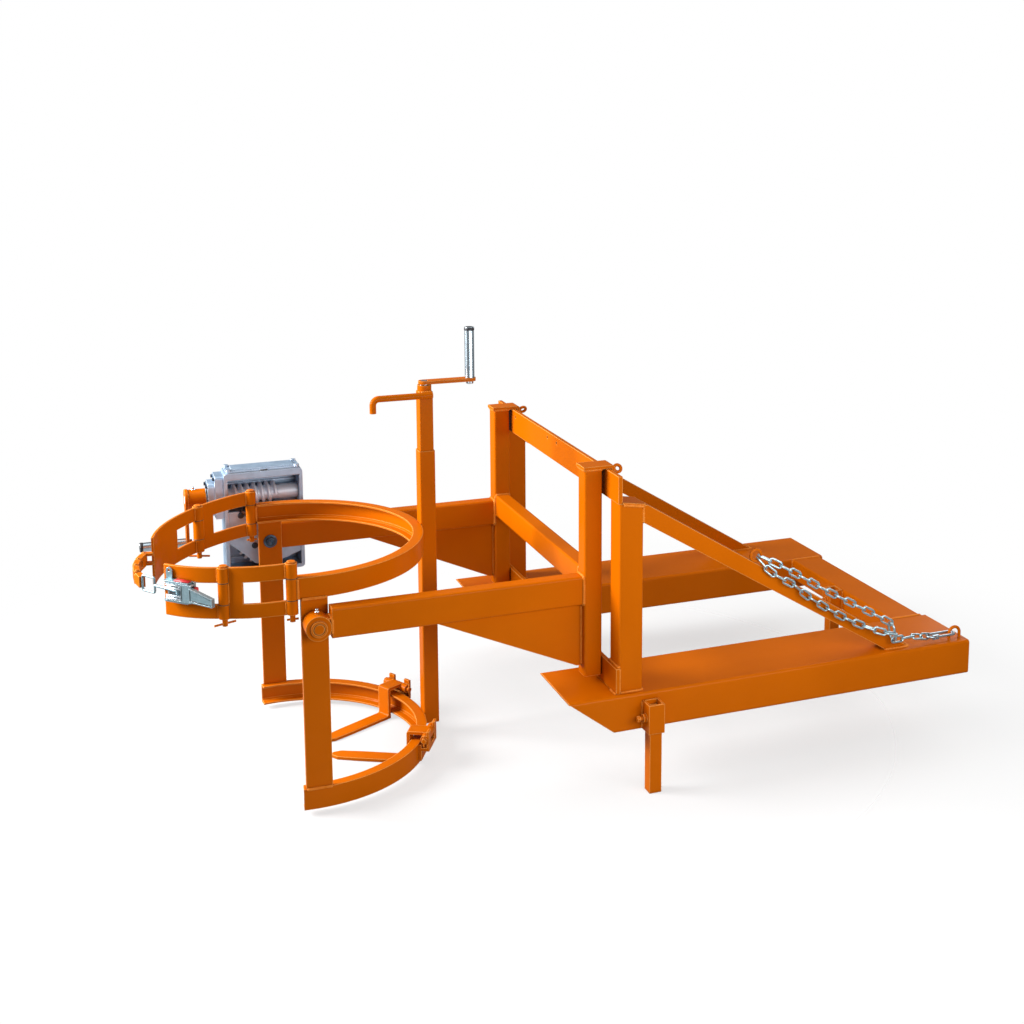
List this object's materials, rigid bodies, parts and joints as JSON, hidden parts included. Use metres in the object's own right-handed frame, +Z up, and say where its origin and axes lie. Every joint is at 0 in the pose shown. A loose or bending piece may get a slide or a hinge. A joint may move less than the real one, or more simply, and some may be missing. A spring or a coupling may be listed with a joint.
{
  "type": "drum lifter",
  "caption": "Fork truck drum lifter: hook-on arm frame with a worm-tilted cradle of two rings, hinged front gates, latch, rim hook mast, fork pockets and legs.",
  "frame": {"origin": "on the drum's centre line at the lower edge of the lower ring, 14 mm above the floor", "axes": "+Z up, +X to the rear where the fork tines go in, -Y is the side nearest the camera"},
  "size_m": [2.016, 1.028, 1.0523],
  "materials": {
    "orange_paint": "glossy orange paint",
    "zinc": "bright zinc plate",
    "cast_alu": "bare die casting",
    "bare_steel": "machined steel",
    "black_steel": "black oxide"
  },
  "bodies": {
    "frame": {"fork_pocket_far": "orange_paint", "fork_pocket_near": "orange_paint", "rear_posts": "orange_paint", "top_rail": "orange_paint", "bottom_rail": "orange_paint", "braces": "orange_paint", "rear_cross_member": "orange_paint", "leg_sleeves": "orange_paint", "chain_eyes": "orange_paint", "safety_chain": "zinc", "snap_hook": "zinc"},
    "snap_gate": {"snap_gate": "zinc"},
    "leg_near": {"support_leg_near": "orange_paint"},
    "leg_far": {"support_leg_far": "orange_paint"},
    "leg_rear": {"support_leg_rear": "orange_paint"},
    "screw_near": {"leg_screw_near": "orange_paint"},
    "screw_far": {"leg_screw_far": "orange_paint"},
    "screw_rear": {"leg_screw_rear": "orange_paint"},
    "hook_frame": {"hook_posts": "orange_paint", "hook_plates": "orange_paint", "cross_tube": "orange_paint", "lift_arms": "orange_paint", "pivot_boss": "orange_paint", "gearbox_housing": "cast_alu", "gearbox_cover": "cast_alu", "worm_bearing_cap": "cast_alu", "shaft_bearing_plate": "cast_alu", "gearbox_bolts": "zinc"},
    "eye_screw_near": {"eye_screw_near": "orange_paint"},
    "eye_screw_far": {"eye_screw_far": "orange_paint"},
    "worm": {"worm_shaft": "bare_steel", "tilt_crank": "orange_paint"},
    "tilt_grip": {"tilt_grip": "zinc"},
    "cradle": {"ring_upper": "orange_paint", "ring_lower": "orange_paint", "cradle_straps": "orange_paint", "mast_tube": "orange_paint", "tilt_shafts": "orange_paint", "strap_bolts": "black_steel", "worm_wheel": "bare_steel", "finger_brackets": "orange_paint", "ring_hinge_pins": "orange_paint"},
    "finger_near": {"support_finger_near": "orange_paint"},
    "finger_far": {"support_finger_far": "orange_paint"},
    "rim_clamp": {"inner_tube": "orange_paint", "rim_hook": "orange_paint"},
    "spindle": {"lift_spindle": "orange_paint", "lift_crank": "orange_paint"},
    "lift_grip": {"lift_grip": "zinc"},
    "rear_gate_near": {"gate_rear_near": "orange_paint"},
    "rear_gate_far": {"gate_rear_far": "orange_paint"},
    "front_gate_near": {"gate_front_near": "orange_paint", "latch_base": "zinc"},
    "front_gate_far": {"gate_front_far": "orange_paint"},
    "latch_lever": {"latch_lever": "zinc"},
    "latch_hook": {"latch_hook": "zinc"},
    "link_1": {"chain_link_1": "orange_paint"},
    "link_2": {"chain_link_2": "orange_paint"},
    "link_3": {"chain_link_3": "orange_paint"},
    "link_4": {"chain_link_4": "orange_paint"}
  },
  "joints": [
    {"name": "leg_slide_near", "type": "slide", "parent": "frame", "child": "leg_near", "axis": [0, 0, 1], "range_m": [-0.03, 0.1]},
    {"name": "leg_screw_turn_near", "type": "hinge", "parent": "frame", "child": "screw_near", "pos_m": [0.752, -0.494, 0.17], "axis": [1, 0, 0], "continuous": true},
    {"name": "leg_slide_far", "type": "slide", "parent": "frame", "child": "leg_far", "axis": [0, 0, 1], "range_m": [-0.03, 0.1]},
    {"name": "leg_screw_turn_far", "type": "hinge", "parent": "frame", "child": "screw_far", "pos_m": [0.752, 0.494, 0.17], "axis": [1, 0, 0], "continuous": true},
    {"name": "leg_slide_rear", "type": "slide", "parent": "frame", "child": "leg_rear", "axis": [0, 0, 1], "range_m": [-0.03, 0.1]},
    {"name": "leg_screw_turn_rear", "type": "hinge", "parent": "frame", "child": "screw_rear", "pos_m": [1.527, 0, 0.19], "axis": [1, 0, 0], "continuous": true},
    {"name": "snap_gate_turn", "type": "hinge", "parent": "frame", "child": "snap_gate", "pos_m": [1.562, -0.457, 0.238], "axis": [0, 0, 1], "range_deg": [0, 25], "stiffness_Nm_per_rad": 0.05, "springref_deg": -17.19},
    {"name": "hook_frame_lift", "type": "slide", "parent": "frame", "child": "hook_frame", "axis": [0, 0, 1], "range_m": [0, 0.07]},
    {"name": "eye_screw_turn_near", "type": "hinge", "parent": "hook_frame", "child": "eye_screw_near", "pos_m": [0.7, -0.3515, 0.737], "axis": [1, 0, 0], "continuous": true},
    {"name": "eye_screw_turn_far", "type": "hinge", "parent": "hook_frame", "child": "eye_screw_far", "pos_m": [0.7, 0.3515, 0.737], "axis": [1, 0, 0], "continuous": true},
    {"name": "cradle_tilt", "type": "hinge", "parent": "hook_frame", "child": "cradle", "pos_m": [0, 0, 0.445], "axis": [0, 1, 0], "range_deg": [-165, 15]},
    {"name": "worm_turn", "type": "hinge", "parent": "hook_frame", "child": "worm", "pos_m": [0, 0.41, 0.5525], "axis": [1, 0, 0], "range_deg": [-455, 4955]},
    {"name": "tilt_grip_spin", "type": "hinge", "parent": "worm", "child": "tilt_grip", "pos_m": [-0.205, 0.41, 0.4355], "axis": [1, 0, 0], "continuous": true},
    {"name": "finger_fold_near", "type": "hinge", "parent": "cradle", "child": "finger_near", "pos_m": [0.29667, -0.15774, 0.06], "axis": [0.4695, 0.8829, 0], "range_deg": [0, 100]},
    {"name": "finger_fold_far", "type": "hinge", "parent": "cradle", "child": "finger_far", "pos_m": [0.29667, 0.15774, 0.06], "axis": [-0.4695, 0.8829, 0], "range_deg": [0, 100]},
    {"name": "rim_clamp_slide", "type": "slide", "parent": "cradle", "child": "rim_clamp", "axis": [0, 0, 1], "range_m": [-0.12, 0.06]},
    {"name": "spindle_turn", "type": "hinge", "parent": "rim_clamp", "child": "spindle", "pos_m": [0.3425, 0, 0.9], "axis": [0, 0, 1], "range_deg": [-10810, 5410]},
    {"name": "lift_grip_spin", "type": "hinge", "parent": "spindle", "child": "lift_grip", "pos_m": [0.4595, 0, 0.96], "axis": [0, 0, 1], "continuous": true},
    {"name": "rear_gate_swing_near", "type": "hinge", "parent": "cradle", "child": "rear_gate_near", "pos_m": [-0.047, -0.314, 0.526], "axis": [0, 0, 1], "range_deg": [0, 90]},
    {"name": "rear_gate_swing_far", "type": "hinge", "parent": "cradle", "child": "rear_gate_far", "pos_m": [-0.047, 0.314, 0.526], "axis": [0, 0, 1], "range_deg": [-38, 0]},
    {"name": "front_gate_swing_near", "type": "hinge", "parent": "rear_gate_near", "child": "front_gate_near", "pos_m": [-0.18692, -0.25727, 0.52], "axis": [0, 0, 1], "range_deg": [0, 45]},
    {"name": "front_gate_swing_far", "type": "hinge", "parent": "rear_gate_far", "child": "front_gate_far", "pos_m": [-0.18692, 0.25727, 0.52], "axis": [0, 0, 1], "range_deg": [-45, 0]},
    {"name": "latch_lever_throw", "type": "hinge", "parent": "front_gate_near", "child": "latch_lever", "pos_m": [-0.29493, -0.19567, 0.514], "axis": [0, 0, 1], "range_deg": [-60, 0]},
    {"name": "latch_hook_swing", "type": "hinge", "parent": "latch_lever", "child": "latch_hook", "pos_m": [-0.27994, -0.20895, 0.514], "axis": [0, 0, 1], "range_deg": [0, 120]},
    {"name": "link_1_turn", "type": "hinge", "parent": "front_gate_far", "child": "link_1", "pos_m": [-0.333, 0.058, 0.514], "axis": [0, 0, 1], "range_deg": [-50, 0]},
    {"name": "link_2_turn", "type": "hinge", "parent": "link_1", "child": "link_2", "pos_m": [-0.349, 0.017, 0.514], "axis": [0, 0, 1], "range_deg": [-50, 0]},
    {"name": "link_3_turn", "type": "hinge", "parent": "link_2", "child": "link_3", "pos_m": [-0.358, -0.027, 0.514], "axis": [0, 0, 1], "range_deg": [-50, 0]},
    {"name": "link_4_turn", "type": "hinge", "parent": "link_3", "child": "link_4", "pos_m": [-0.358, -0.072, 0.514], "axis": [0, 0, 1], "range_deg": [-40, 40]}
  ],
  "couplings": [
    {"joint": "worm_turn", "follows": "cradle_tilt", "ratio": -30},
    {"joint": "spindle_turn", "follows": "rim_clamp_slide", "rad_per_m": 1570.8},
    {"joint": "latch_hook_swing", "follows": "latch_lever_throw", "ratio": -2}
  ]
}
